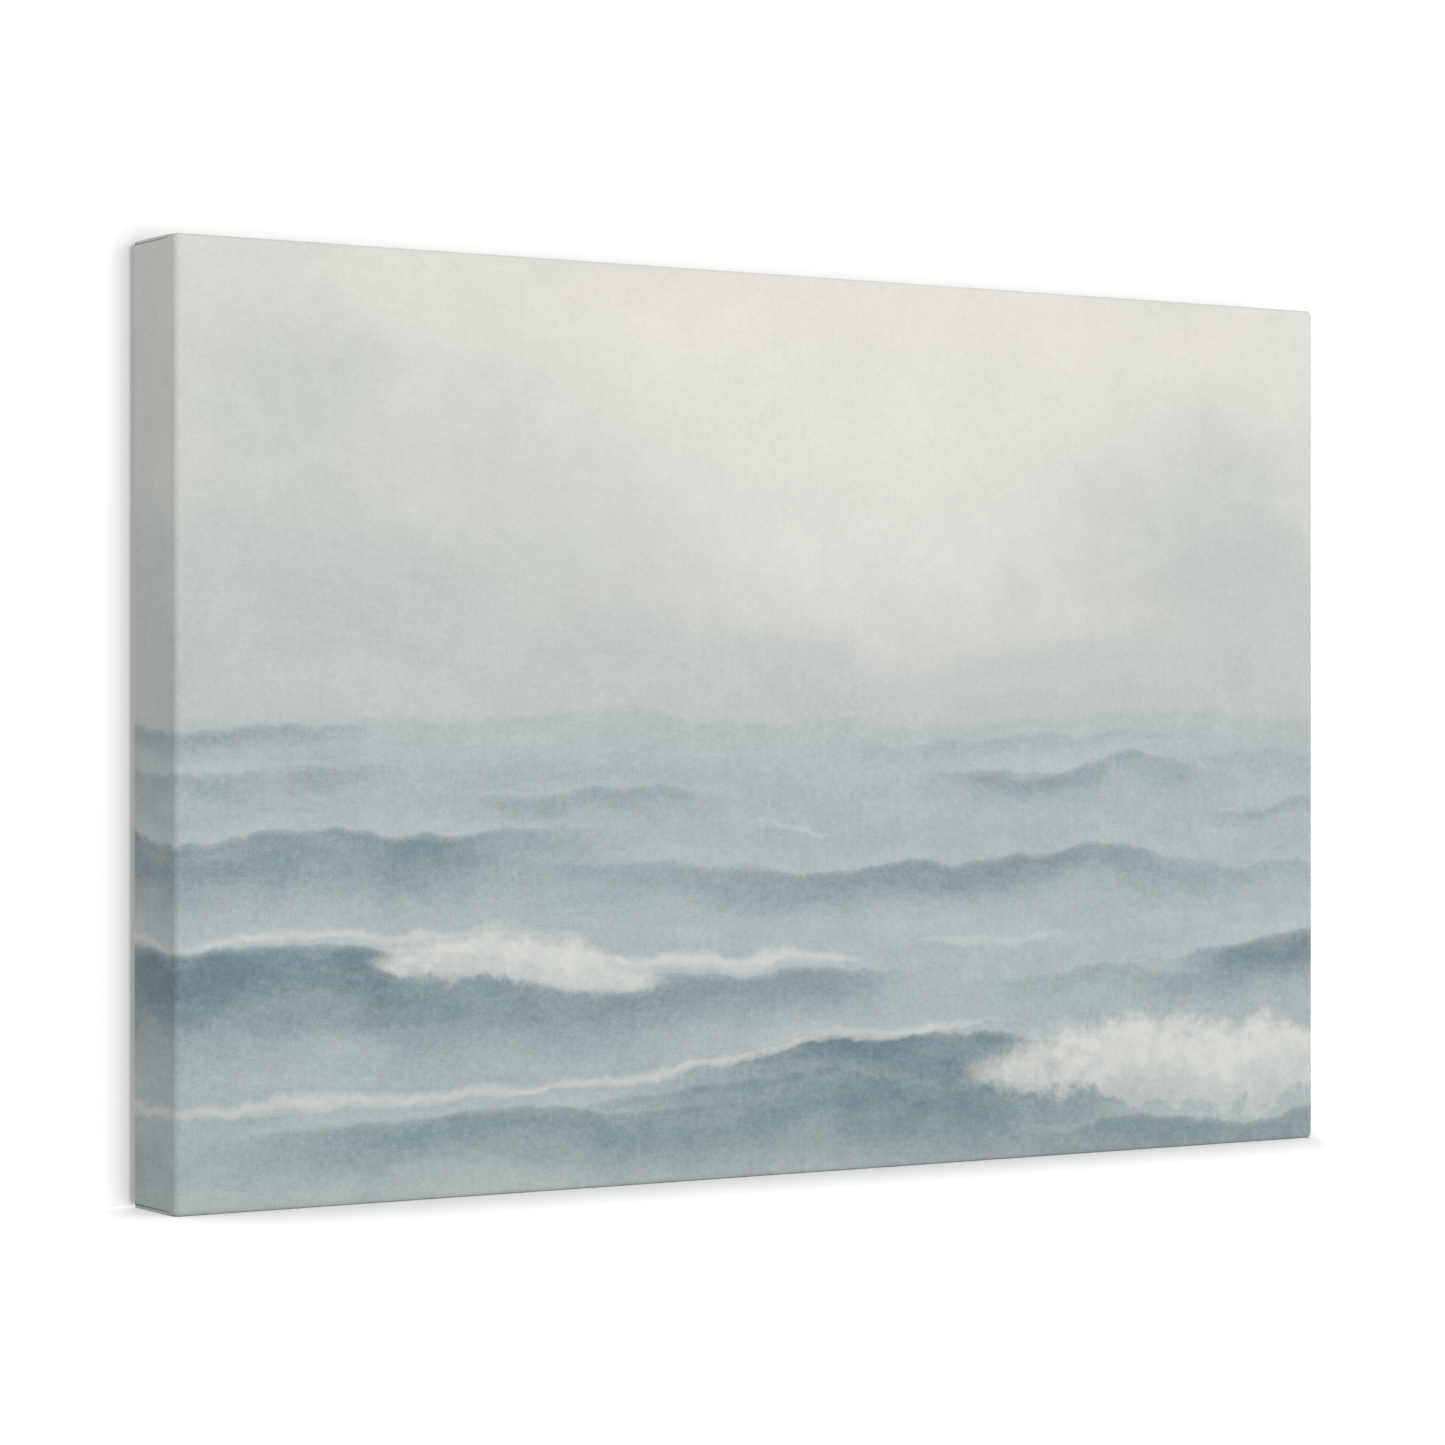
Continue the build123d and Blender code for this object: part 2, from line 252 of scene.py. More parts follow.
def rail_flap(sz):
    """The top or bottom cloth from the end of its tucks to its cut edge. It lies over the side flaps."""
    rows = []
    for inset, depth, lifted, run in back_stations():
        row = []
        end = HALF_X - FLAP_END_INSET - FLAP_END_SLANT * inset * lifted
        for i in range(FACE_COLUMNS + 1):
            x = end * (2 * i / FACE_COLUMNS - 1)
            over = 1 - smoothstep(FLAP, FLAP + FLAP_STEP_DOWN, WIDTH / 2 - abs(x))
            y = depth + LAYER * over * lifted
            row.append((x, y, sz * (HALF_Z - inset), x, sz * (HEIGHT / 2 + run)))
        rows.append(row)
    return rows


def stile_flap(sx):
    """The left or right cloth from the end of its tucks to its cut edge, with its rounded corners."""
    rows = []
    for inset, depth, lifted, run in back_stations():
        shrink = math.sqrt(max(0.0, 1 - lifted * lifted))
        row = []
        for sz in (-1, 1):
            arc = []
            for k in range(BEND_ROWS + 1):
                turn = math.pi / 2 * k / BEND_ROWS
                u = inset + TUCK_BEND * shrink * (1 - math.cos(turn))
                w = 2 * LAYER + TUCK_BEND * (1 - shrink * math.sin(turn))
                t = sz * (HEIGHT / 2 - MIDDLE - 2 * LAYER - TUCK_BEND + TUCK_BEND * turn)
                arc.append((sx * (HALF_X - u), depth, sz * (HALF_Z - w), sx * (WIDTH / 2 + run), t))
            row.append(arc)
        low, high = row[0][::-1], row[1]
        rows.append(low + straight_points(low[-1], high[0], FACE_ROWS) + high)
    return rows


def waviness(x, z):
    """How far the taut face strays from true."""
    broad = noise.noise(Vector((x * 9, z * 9, 3.1)))
    fine = noise.noise(Vector((x * 45, z * 45, 8.7)))
    return BROAD_WAVE * broad + FINE_WAVE * fine


def displaced(point, staples):
    """The point's place in the frame, with the cloth's small unevenness added."""
    x, depth, z, _, _ = point
    y = FRONT_Y + MIDDLE + depth
    middle_z = CLOTH_LOW.z + HEIGHT / 2
    if depth < BEND:
        room = min(HALF_X - abs(x), HALF_Z - abs(z))
        y += waviness(x, z) * smoothstep(BEND, CALM_EDGE, room)
    elif depth > MID_DEPTH - TINY:
        inset = min(HALF_X - abs(x), HALF_Z - abs(z))
        nearest = min(math.hypot(x - sx, z + middle_z - sz) for sx, sz in staples)
        loose = smoothstep(*HELD_BY_STAPLE, nearest) * smoothstep(BEND, HELD_BY_EDGE, inset)
        towards_cut = smoothstep(CALM_EDGE, FLAP, inset)
        pucker = 0.5 + 0.5 * noise.noise(Vector((x * 60, z * 60, 1.7)))
        y += loose * (PUCKER + CUT_EDGE_PUCKER * towards_cut) * pucker
    return (x, y, z + middle_z)


def staple_spots():
    """Where the staples are, as (x, z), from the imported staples' separate solids."""
    spots = []
    for name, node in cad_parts.items():
        if name.startswith("staples_"):
            for island in islands(node.data):
                centre = island.mean(axis=0)
                spots.append((float(centre[0]), float(centre[2])))
    return spots


def islands(mesh):
    """The vertex positions of each connected piece of a mesh. Split vertices are matched by place."""
    points = np.array([v.co for v in mesh.vertices])
    keys = {}
    welded = [keys.setdefault(tuple(np.round(p * 1e6).astype(int)), len(keys)) for p in points]
    parent = list(range(len(keys)))

    def root(i):
        while parent[i] != i:
            parent[i] = parent[parent[i]]
            i = parent[i]
        return i

    for edge in mesh.edges:
        a, b = (root(welded[i]) for i in edge.vertices)
        parent[a] = b
    groups = {}
    for i, k in enumerate(welded):
        groups.setdefault(root(k), []).append(i)
    return [points[members] for members in groups.values()]


class SheetMesh:
    """Collects grids of points into one surface, welding the points that coincide."""

    def __init__(self):
        self.index = {}
        self.places = []
        self.flats = []
        self.faces = []

    def vertex(self, place, flat):
        """The number of the vertex at a place, made if it is new."""
        key = tuple(round(c * 2e6) for c in place)
        if key not in self.index:
            self.index[key] = len(self.places)
            self.places.append(place)
            self.flats.append(flat)
        return self.index[key]

    def add(self, rows, closed, staples):
        """Joins rows of points with faces, round each row too where they are closed."""
        ids = []
        for row in rows:
            ids.append([self.vertex(displaced(p, staples), (p[3], p[4], 0.0)) for p in row])
        for low, high in zip(ids, ids[1:]):
            count = len(low) if closed else len(low) - 1
            for i in range(count):
                k = (i + 1) % len(low)
                corners = dict.fromkeys((low[i], low[k], high[k], high[i]))
                if len(corners) > 2:
                    self.faces.append(tuple(corners))


def build_cloth():
    """The whole cloth as one sheet with thickness. Slot 0 is the printed side, 1 the raw side."""
    staples = staple_spots()
    sheet = SheetMesh()
    sheet.add(face_grid(), False, staples)
    sheet.add([ring(*station) for station in side_stations()], True, staples)
    for side in (-1, 1):
        sheet.add(rail_flap(side), False, staples)
        sheet.add(stile_flap(side), False, staples)
    mesh = bpy.data.meshes.new("canvas_print")
    mesh.from_pydata(sheet.places, [], sheet.faces)
    flat = mesh.attributes.new("flat", "FLOAT_VECTOR", "POINT")
    flat.data.foreach_set("vector", np.array(sheet.flats, np.float32).ravel())
    cloth = bpy.data.objects.new("canvas_print", mesh)
    bpy.context.scene.collection.objects.link(cloth)
    face_outwards(mesh)
    thicken = cloth.modifiers.new("thickness", "SOLIDIFY")
    thicken.thickness = CLOTH_T
    thicken.offset = 0
    thicken.material_offset = 1
    thicken.material_offset_rim = 1
    mesh.materials.append(printed_canvas())
    mesh.materials.append(raw_canvas())
    apply_modifiers(cloth)
    cloth.data.shade_smooth()
    cloth.data.set_sharp_from_angle(angle=SHARP_ANGLE)
    return cloth


def face_outwards(mesh):
    """Turns every face the same way round, with the printed side of the face towards -Y."""
    bm = bmesh.new()
    bm.from_mesh(mesh)
    bmesh.ops.recalc_face_normals(bm, faces=bm.faces)
    front = min(bm.faces, key=lambda f: f.calc_center_median().y + abs(f.calc_center_median().x))
    if front.normal.y > 0:
        bmesh.ops.reverse_faces(bm, faces=bm.faces)
    bm.to_mesh(mesh)
    bm.free()


def apply_modifiers(obj):
    """Replaces the object's mesh with what its modifiers make of it."""
    evaluated = obj.evaluated_get(bpy.context.evaluated_depsgraph_get())
    made = bpy.data.meshes.new_from_object(evaluated)
    obj.modifiers.clear()
    obj.data = made


# ---------------------------------------------------------------------------------------------------------
# Material graphs, written as arithmetic
# ---------------------------------------------------------------------------------------------------------


class Graph:
    """A material's node tree and its shader."""

    def __init__(self, name):
        self.material = bpy.data.materials.new(name)
        self.material.use_nodes = True
        self.tree = self.material.node_tree
        self.shader = self.tree.nodes["Principled BSDF"]

    def node(self, kind, **settings):
        """A new node with its settings."""
        made = self.tree.nodes.new(kind)
        for key, value in settings.items():
            setattr(made, key, value)
        return made

    def feed(self, socket, value):
        """Links a Value to a socket, or sets a plain number or colour on it."""
        if isinstance(value, Value):
            self.tree.links.new(value.socket, socket)
        else:
            socket.default_value = value

    def math(self, operation, *values, clamp=False):
        made = self.node("ShaderNodeMath", operation=operation, use_clamp=clamp)
        for socket, value in zip(made.inputs, values):
            self.feed(socket, value)
        return Value(self, made.outputs[0])

    def ramp(self, value, low, high, to_low=0.0, to_high=1.0):
        """Smoothly from to_low at low to to_high at high."""
        made = self.node("ShaderNodeMapRange", interpolation_type="SMOOTHSTEP")
        for socket, number in zip(made.inputs, (value, low, high, to_low, to_high)):
            self.feed(socket, number)
        return Value(self, made.outputs[0])

    def combine(self, x, y, z):
        made = self.node("ShaderNodeCombineXYZ")
        for socket, value in zip(made.inputs, (x, y, z)):
            self.feed(socket, value)
        return Value(self, made.outputs[0])

    def split(self, vector):
        made = self.node("ShaderNodeSeparateXYZ")
        self.feed(made.inputs[0], vector)
        return [Value(self, socket) for socket in made.outputs]

    def noise(self, vector, scale, detail=2.0, roughness=0.5):
        """Noise about 0, from about -0.5 to 0.5."""
        made = self.node("ShaderNodeTexNoise")
        self.feed(made.inputs["Vector"], vector)
        made.inputs["Scale"].default_value = scale
        made.inputs["Detail"].default_value = detail
        made.inputs["Roughness"].default_value = roughness
        return Value(self, made.outputs["Fac"]) - 0.5

    def warp(self, vector, scale, amount):
        """The vector, strayed by up to about half the amount each way."""
        stray = self.node("ShaderNodeTexNoise")
        self.feed(stray.inputs["Vector"], vector)
        stray.inputs["Scale"].default_value = scale
        moved = self.node("ShaderNodeVectorMath", operation="MULTIPLY_ADD")
        self.tree.links.new(stray.outputs["Color"], moved.inputs[0])
        moved.inputs[1].default_value = (2 * amount,) * 3
        centred = self.node("ShaderNodeVectorMath", operation="SUBTRACT")
        self.feed(centred.inputs[0], vector)
        centred.inputs[1].default_value = (amount,) * 3
        self.tree.links.new(centred.outputs[0], moved.inputs[2])
        return Value(self, moved.outputs[0])

    def mix(self, share, first, second):
        """The first colour at share 0, the second at share 1."""
        made = self.node("ShaderNodeMix", data_type="RGBA")
        self.feed(made.inputs["Factor"], share)
        self.feed(made.inputs["A"], first)
        self.feed(made.inputs["B"], second)
        return Value(self, made.outputs["Result"])

    def stops(self, value, stops):
        """A colour ramp from (position, colour) pairs."""
        made = self.node("ShaderNodeValToRGB")
        elements = made.color_ramp.elements
        elements.remove(elements[1])
        elements[0].position, elements[0].color = stops[0]
        for position, colour in stops[1:]:
            elements.new(position).color = colour
        made.color_ramp.interpolation = "EASE"
        self.feed(made.inputs[0], value)
        return Value(self, made.outputs[0])

    def brighten(self, colour, factor):
        """The colour times a number that varies."""
        made = self.node("ShaderNodeVectorMath", operation="SCALE")
        self.feed(made.inputs[0], colour if isinstance(colour, Value) else colour[:3])
        self.feed(made.inputs["Scale"], factor)
        return Value(self, made.outputs[0])

    def bump(self, height, distance, strength):
        """Relief for the shader, from a height of about 0 to 1."""
        made = self.node("ShaderNodeBump")
        made.inputs["Strength"].default_value = strength
        made.inputs["Distance"].default_value = distance
        self.feed(made.inputs["Height"], height)
        self.tree.links.new(made.outputs[0], self.shader.inputs["Normal"])

    def set(self, **settings):
        """Shader inputs by name, with underscores for spaces."""
        for key, value in settings.items():
            self.feed(self.shader.inputs[key.replace("_", " ")], value)
        return self.material


class Value:
    """A number or colour that varies over the surface."""

    def __init__(self, graph, socket):
        self.graph = graph
        self.socket = socket

    def __add__(self, other):
        return self.graph.math("ADD", self, other)

    def __sub__(self, other):
        return self.graph.math("SUBTRACT", self, other)

    def __rsub__(self, other):
        return self.graph.math("SUBTRACT", other, self)

    def __mul__(self, other):
        return self.graph.math("MULTIPLY", self, other)

    __radd__ = __add__
    __rmul__ = __mul__

    def sine(self):
        return self.graph.math("SINE", self)

    def absolute(self):
        return self.graph.math("ABSOLUTE", self)

    def power(self, exponent):
        return self.graph.math("POWER", self, exponent)

    def clamped(self):
        return self.graph.math("ADD", self, 0.0, clamp=True)

    def larger(self, other):
        return self.graph.math("MAXIMUM", self, other)


def rgb(red, green, blue):
    """A linear colour from the usual 0 to 255 levels."""
    levels = [c / 255 for c in (red, green, blue)]
    linear = [c / 12.92 if c <= 0.04045 else ((c + 0.055) / 1.055) ** 2.4 for c in levels]
    return (*linear, 1.0)


# ---------------------------------------------------------------------------------------------------------
# The cloth's materials
# ---------------------------------------------------------------------------------------------------------

THREAD = 0.98 * MM
THREAD_STRAY = 0.5 * MM
PRINT_RELIEF = 0.16 * MM
RAW_RELIEF = 0.22 * MM
PRIMER_DULL, PRIMER_WHITE = rgb(232, 229, 221), rgb(238, 236, 230)
COTTON_DARK, COTTON_PALE = rgb(214, 202, 178), rgb(226, 216, 195)
SEED_SPECK = rgb(150, 124, 88)


def flat_cloth(g):
    """The flat cloth's own coordinates in metres, from the middle of the face."""
    made = g.node("ShaderNodeAttribute", attribute_name="flat", attribute_type="GEOMETRY")
    return Value(g, made.outputs["Vector"])


def weave(g, flat):
    """Height of a plain weave of slightly uneven threads, about 0 to 1. Every second gap is deeper."""
    s, t, _ = g.split(flat)
    stray = g.noise(flat, 90, 2.0) * THREAD_STRAY
    a = (s + stray) * (1 / THREAD)
    b = (t + stray) * (1 / THREAD)
    warp = (a * math.pi).sine().absolute() * (0.78 + 0.22 * (a * (math.pi / 2)).sine().absolute())
    weft = (b * math.pi).sine().absolute() * (0.78 + 0.22 * (b * (math.pi / 2)).sine().absolute())
    over = (0.5 + 1.1 * ((a * math.pi).sine() * (b * math.pi).sine())).clamped()
    slub = 1 + 0.5 * g.noise(flat, 260, 2.0)
    return (warp * (0.45 + 0.55 * over) + weft * (1.0 - 0.55 * over)) * 0.5 * slub


def picture_place(g, s, t):
    """x from the picture's left and y from its top, both 0 to 1, mirrored past its edges."""
    x = g.math("PINGPONG", s * (1 / WIDTH) + 0.5, 1.0)
    y = g.math("PINGPONG", 0.5 - t * (1 / HEIGHT), 1.0)
    return x, y


# The picture's colours
COOL_MIST = rgb(178, 188, 187)
WARM_LIGHT = rgb(236, 233, 226)
PALE_HAZE = rgb(194, 201, 200)
DARK_HAZE = rgb(146, 162, 167)
SWELL_SHADE = rgb(112, 132, 140)
SWELL_CREST = rgb(96, 118, 128)
SWELL_LIGHT = rgb(204, 209, 207)
FOAM_WHITE = rgb(213, 214, 209)
# The wash under everything, from the picture's top to its bottom
SKY_TO_SEA = (
    (0.00, rgb(219, 218, 211)),
    (0.14, rgb(217, 217, 210)),
    (0.26, rgb(212, 213, 207)),
    (0.36, rgb(204, 206, 201)),
    (0.44, rgb(196, 200, 197)),
    (0.485, rgb(190, 196, 194)),
    (0.505, rgb(180, 188, 188)),
    (0.60, rgb(173, 183, 185)),
    (0.75, rgb(174, 184, 186)),
    (0.86, rgb(168, 179, 181)),
    (0.95, rgb(166, 178, 178)),
    (1.00, rgb(171, 181, 179)),
)
# Places and sizes below are shares of the picture's width and height, from its upper left corner.
# Mist in the sky: x, y, reach across, reach down, how cool it is (below 0 it is a warm light)
MIST = (
    (0.04, 0.40, 0.20, 0.16, 0.44),
    (0.20, 0.24, 0.26, 0.20, 0.24),
    (0.02, 0.10, 0.16, 0.16, 0.22),
    (0.40, 0.44, 0.16, 0.08, 0.30),
    (0.86, 0.22, 0.18, 0.14, 0.40),
    (0.97, 0.36, 0.14, 0.12, 0.32),
    (0.78, 0.46, 0.16, 0.06, 0.22),
    (0.60, 0.12, 0.34, 0.24, -0.38),
    (0.56, 0.36, 0.22, 0.10, -0.20),
    (0.28, 0.05, 0.22, 0.08, -0.18),
    (0.98, 0.06, 0.14, 0.10, -0.20),
    (0.13, 0.47, 0.10, 0.04, -0.30),
)
# Swells, from far to near: crest height, middle, half width, arch, tilt, ripple phase, soft tail, darkness
SWELLS = (
    (0.503, 0.02, 0.15, 0.002, 0.000, 0.6, 0.034, 0.60),
    (0.545, 0.06, 0.13, 0.006, 0.008, 0.3, 0.038, 0.50),
    (0.516, 0.72, 0.26, 0.002, 0.000, 5.0, 0.026, 0.20),
    (0.552, 0.76, 0.17, 0.008, 0.014, 1.9, 0.046, 0.56),
    (0.577, 0.33, 0.13, 0.008, -0.030, 4.1, 0.042, 0.48),
    (0.603, 0.97, 0.12, 0.004, -0.010, 2.2, 0.024, 0.34),
    (0.616, 0.09, 0.31, 0.009, 0.004, 0.9, 0.100, 0.86),
    (0.655, 0.40, 0.16, 0.012, 0.010, 1.7, 0.050, 0.40),
    (0.650, 0.66, 0.30, 0.020, -0.006, 3.3, 0.068, 0.84),
    (0.668, 0.98, 0.14, 0.005, -0.020, 5.2, 0.040, 0.34),
    (0.730, 0.06, 0.24, 0.016, 0.050, 1.1, 0.150, 1.20),
    (0.768, 0.46, 0.17, 0.012, 0.004, 0.2, 0.080, 0.70),
    (0.785, 0.28, 0.16, -0.010, 0.030, 2.7, 0.090, 0.74),
    (0.750, 0.99, 0.18, 0.014, -0.070, 4.4, 0.080, 0.84),
    (0.788, 0.78, 0.14, 0.004, -0.010, 3.0, 0.040, 0.44),
    (0.852, 0.60, 0.27, 0.040, 0.026, 0.5, 0.200, 1.12),
    (0.896, 0.44, 0.20, 0.026, -0.050, 5.6, 0.130, 0.55),
    (0.914, 0.24, 0.25, 0.010, 0.014, 1.6, 0.080, 0.78),
    (0.962, 0.92, 0.28, 0.020, 0.016, 2.1, 0.090, 0.74),
)
# Foam: crest height, middle, half width, arch, tilt, ripple phase, thickness, whiteness
FOAM = (
    (0.722, 0.12, 0.14, 0.006, 0.016, 1.1, 0.012, 0.62),
    (0.760, 0.265, 0.14, 0.006, 0.110, 2.0, 0.064, 1.00),
    (0.755, 0.44, 0.14, 0.006, 0.006, 0.2, 0.018, 0.85),
    (0.745, 0.68, 0.08, 0.003, 0.040, 4.0, 0.014, 0.36),
    (0.610, 0.50, 0.05, 0.001, 0.000, 1.0, 0.008, 0.32),
    (0.893, 0.13, 0.20, 0.006, 0.020, 1.6, 0.017, 0.70),
    (0.865, 0.47, 0.26, 0.012, -0.130, 0.5, 0.016, 0.72),
    (0.894, 0.89, 0.26, 0.024, 0.056, 3.1, 0.118, 1.02),
)


# How the wet paint's edges stray: the scale of a noise, and how far it moves them
WET_EDGES = ((3.6, 0.030), (16, 0.011), (46, 0.0032))
# Two ripples along every curve: how quickly they turn across the picture, and how high they are
LONG_RIPPLE, LONG_RIPPLE_HEIGHT = 34, 0.0026
SHORT_RIPPLE, SHORT_RIPPLE_HEIGHT = 71, 0.0014
# The picture's width in heights
ASPECT = WIDTH / HEIGHT


def curve_under(x, y, height, middle, half_width, arch, tilt, phase):
    """How far below a curved line a point is, and how far along it: 0 in its middle, 1 at its ends."""
    across = (x - middle) * (1 / half_width)
    long_ripple = (x * LONG_RIPPLE + phase).sine() * LONG_RIPPLE_HEIGHT
    short_ripple = (x * SHORT_RIPPLE + 2 * phase).sine() * SHORT_RIPPLE_HEIGHT
    line = across * across * arch + (x - middle) * tilt + height + (long_ripple + short_ripple)
    return y - line, across.absolute()


def painted_sky(g, x, y, cloud):
    """Warm pale light in a cool mist, over a base that darkens towards the horizon."""
    colour = g.stops(y, SKY_TO_SEA)
    cool = 0.0
    for mid_x, mid_y, reach_x, reach_y, strength in MIST:
        dx = (x - mid_x) * (1 / reach_x)
        dy = (y - mid_y) * (1 / reach_y)
        near = g.ramp(dx * dx + dy * dy + cloud * 1.6, 1.25, 0.0)
        cool = near * strength + cool
    above = g.ramp(y, 0.52, 0.47)
    colour = g.mix((cool * above).clamped(), colour, COOL_MIST)
    return g.mix((cool * above * -1.0).clamped(), colour, WARM_LIGHT)


def painted_haze(g, x, y, below, colour):
    """Long level streaks over the sea, some pale and some dark."""
    haze = g.noise(g.combine(x * 1.8, y * 7.0, 5.0), 3.0, 5.0, 0.6)
    colour = g.mix(g.ramp(haze, 0.02, 0.26) * below * 0.42, colour, PALE_HAZE)
    return g.mix(g.ramp(haze, 0.0, -0.25) * below * 0.40, colour, DARK_HAZE)


def painted_swells(g, x, y, body, colour):
    """Each swell: shade that fades downwards, a thin darker line at its crest, and light over it."""
    for height, middle, half_width, arch, tilt, phase, tail, dark in SWELLS:
        under, along = curve_under(x, y, height, middle, half_width, arch, tilt, phase)
        fades = g.ramp(along, 1.0, 0.30)
        shade = g.ramp(under, -0.002, 0.008) * g.ramp(under, tail, 0.18 * tail) * fades * (0.86 * dark)
        colour = g.mix((shade * body).clamped(), colour, SWELL_SHADE)
        pooled = g.ramp(under, -0.0015, 0.0015) * g.ramp(under, 0.0075, 0.002) * fades * (0.24 * dark)
        colour = g.mix((pooled * body).clamped(), colour, SWELL_CREST)
        lit = g.ramp(under, -0.030, -0.003) * g.ramp(under, 0.001, -0.004) * fades
        colour = g.mix(lit * (0.20 * dark), colour, SWELL_LIGHT)
    return colour


def painted_foam(g, x, y, spray, lace, colour):
    """Each stretch of foam: thickest in its middle, ragged above, and soft and thin below."""
    for height, middle, half_width, arch, tilt, phase, thick, white in FOAM:
        under, along = curve_under(x, y, height, middle, half_width, arch, tilt, phase)
        swelling = (1 - along * along).larger(0.0)
        half = swelling * (0.5 * thick) + (swelling + 0.25) * spray * (0.8 * thick)
        soft = 0.0015 + 0.12 * thick
        band = g.ramp(half + under, -soft, 2 * soft) * g.ramp(half - under, -0.001, 1.1 * soft)
        thin = g.ramp(under + spray * thick, -0.20 * thick, 0.50 * thick, 1.0, 0.42)
        foam = band * thin * g.ramp(along, 1.0, 0.70) * (0.90 + lace * 1.1) * white
        colour = g.mix(foam.clamped(), colour, FOAM_WHITE)
    return colour


def sea_and_sky(g, s, t):
    """A generic misty seascape in watercolour: pale sky, a soft horizon, swells and foam."""
    x, y = picture_place(g, s, t)
    place = g.combine(x * ASPECT, y, 0.0)
    wet = place
    for scale, amount in WET_EDGES:
        wet = g.warp(wet, scale, amount)
    wet_x, wet_y, _ = g.split(wet)
    wet_x = wet_x * (1 / ASPECT)
    cloud = g.noise(place, 3.4, 6.0, 0.62)
    body = g.noise(g.combine(x * 3.0, y * 5.0, 1.0), 3.4, 7.0, 0.66) * 2.1 + 0.88
    spray = g.noise(place, 20.0, 6.0, 0.68)
    lace = g.noise(wet, 44.0, 5.0, 0.65)
    below = g.ramp(wet_y, 0.495, 0.53)
    colour = painted_sky(g, wet_x, wet_y, cloud)
    colour = painted_haze(g, x, y, below, colour)
    colour = painted_swells(g, wet_x, wet_y, body, colour)
    return painted_foam(g, wet_x, wet_y, spray, lace, colour)


def granulated(g, colour, flat):
    """Pigment that settles in specks and blotches, more so where the wash is dark."""
    _, green, _ = g.split(colour)
    pigment = g.ramp(green, 0.68, 0.24, 0.8, 3.0)
    speck = g.noise(flat, 1300, 3.0, 0.7) * 0.22
    settle = g.noise(flat, 430, 3.0, 0.6) * 0.17
    blotch = g.noise(flat, 110, 4.0, 0.6) * 0.11
    mottle = g.noise(flat, 30, 5.0, 0.6) * 0.17
    return g.brighten(colour, 1 + mottle + (speck + settle + blotch) * pigment)


def printed_canvas():
    """Cotton canvas with the picture printed on it, primed white past the print's bleed on the back."""
    g = Graph("printed_canvas")
    flat = flat_cloth(g)
    s, t, _ = g.split(flat)
    colour = sea_and_sky(g, s, t)
    threads = weave(g, flat)
    grain = g.noise(flat, 900, 3.0, 0.6)
    wash = g.noise(flat, 300, 3.0, 0.6)
    # Painted shade: the print is made darker between the threads and lighter on the threads' tops
    colour = g.brighten(granulated(g, colour, flat), 0.975 + threads * 0.05)
    beyond = (s.absolute() - WIDTH / 2).larger(t.absolute() - HEIGHT / 2)
    limit = DEPTH + PRINT_PAST_EDGE
    unprinted = g.ramp(beyond, limit, limit + PRINT_FADE)
    # Painted shade: the primer is made darker between the threads and lighter on the threads' tops
    primed = g.brighten(g.mix(0.5 + wash, PRIMER_DULL, PRIMER_WHITE), 0.94 + threads * 0.08)
    colour = g.mix(unprinted, colour, primed)
    g.bump(threads + 0.25 * grain, PRINT_RELIEF, 0.55)
    return g.set(
        Base_Color=colour,
        Roughness=0.72 + wash * 0.10,
        Specular_IOR_Level=0.28,
        Sheen_Weight=0.06,
        Sheen_Roughness=0.5,
    )


def raw_canvas():
    """The unprimed back of the cloth, with its natural cotton colour and seed specks."""
    g = Graph("raw_canvas")
    flat = flat_cloth(g)
    threads = weave(g, flat)
    patch = g.noise(flat, 22, 3.0)
    speck = g.ramp(g.noise(flat, 420, 1.0), 0.21, 0.26)
    colour = g.mix(0.5 + patch * 1.2, COTTON_DARK, COTTON_PALE)
    colour = g.mix(speck * 0.7, colour, SEED_SPECK)
    # Painted shade: the cotton is made much darker between the threads and lighter on the threads' tops
    colour = g.brighten(colour, 0.78 + threads * 0.30)
    g.bump(threads, RAW_RELIEF, 0.8)
    return g.set(Base_Color=colour, Roughness=0.92, Specular_IOR_Level=0.15, Sheen_Weight=0.25,
                 Sheen_Roughness=0.6)


# ---------------------------------------------------------------------------------------------------------
# Wood, steel and rubber
# ---------------------------------------------------------------------------------------------------------

PINE_EARLY, PINE_LATE = rgb(226, 197, 150), rgb(190, 140, 82)
BEECH_EARLY, BEECH_LATE = rgb(206, 165, 118), rgb(176, 130, 84)
KNOT_BROWN = rgb(112, 68, 36)
ZINC = rgb(196, 198, 200)
BRASS_PLATE = rgb(222, 204, 160)
RUBBER_DARK, RUBBER_DUSTY = rgb(150, 148, 143), rgb(176, 174, 168)
WOOD_RELIEF = 0.12 * MM
STEEL_RELIEF = 0.02 * MM
RUBBER_RELIEF = 0.03 * MM
BAR_MIDDLE = 20 * MM

# The rubber feet: their sides lean in by the taper, and the dish is sunk in the flat top
FOOT_TAPER = 0.35 * MM
FOOT_ROUND = 0.8 * MM
FOOT_LIP = 0.5 * MM
FOOT_FLAT = 0.9 * MM
FOOT_DISH = 0.35 * MM
FOOT_SEGMENTS = 64
FOOT_ROUND_STEPS = 6


def object_place(g):
    """The frame's own coordinates in metres, as every object's origin is the frame's."""
    made = g.node("ShaderNodeTexCoord")
    return Value(g, made.outputs["Object"])


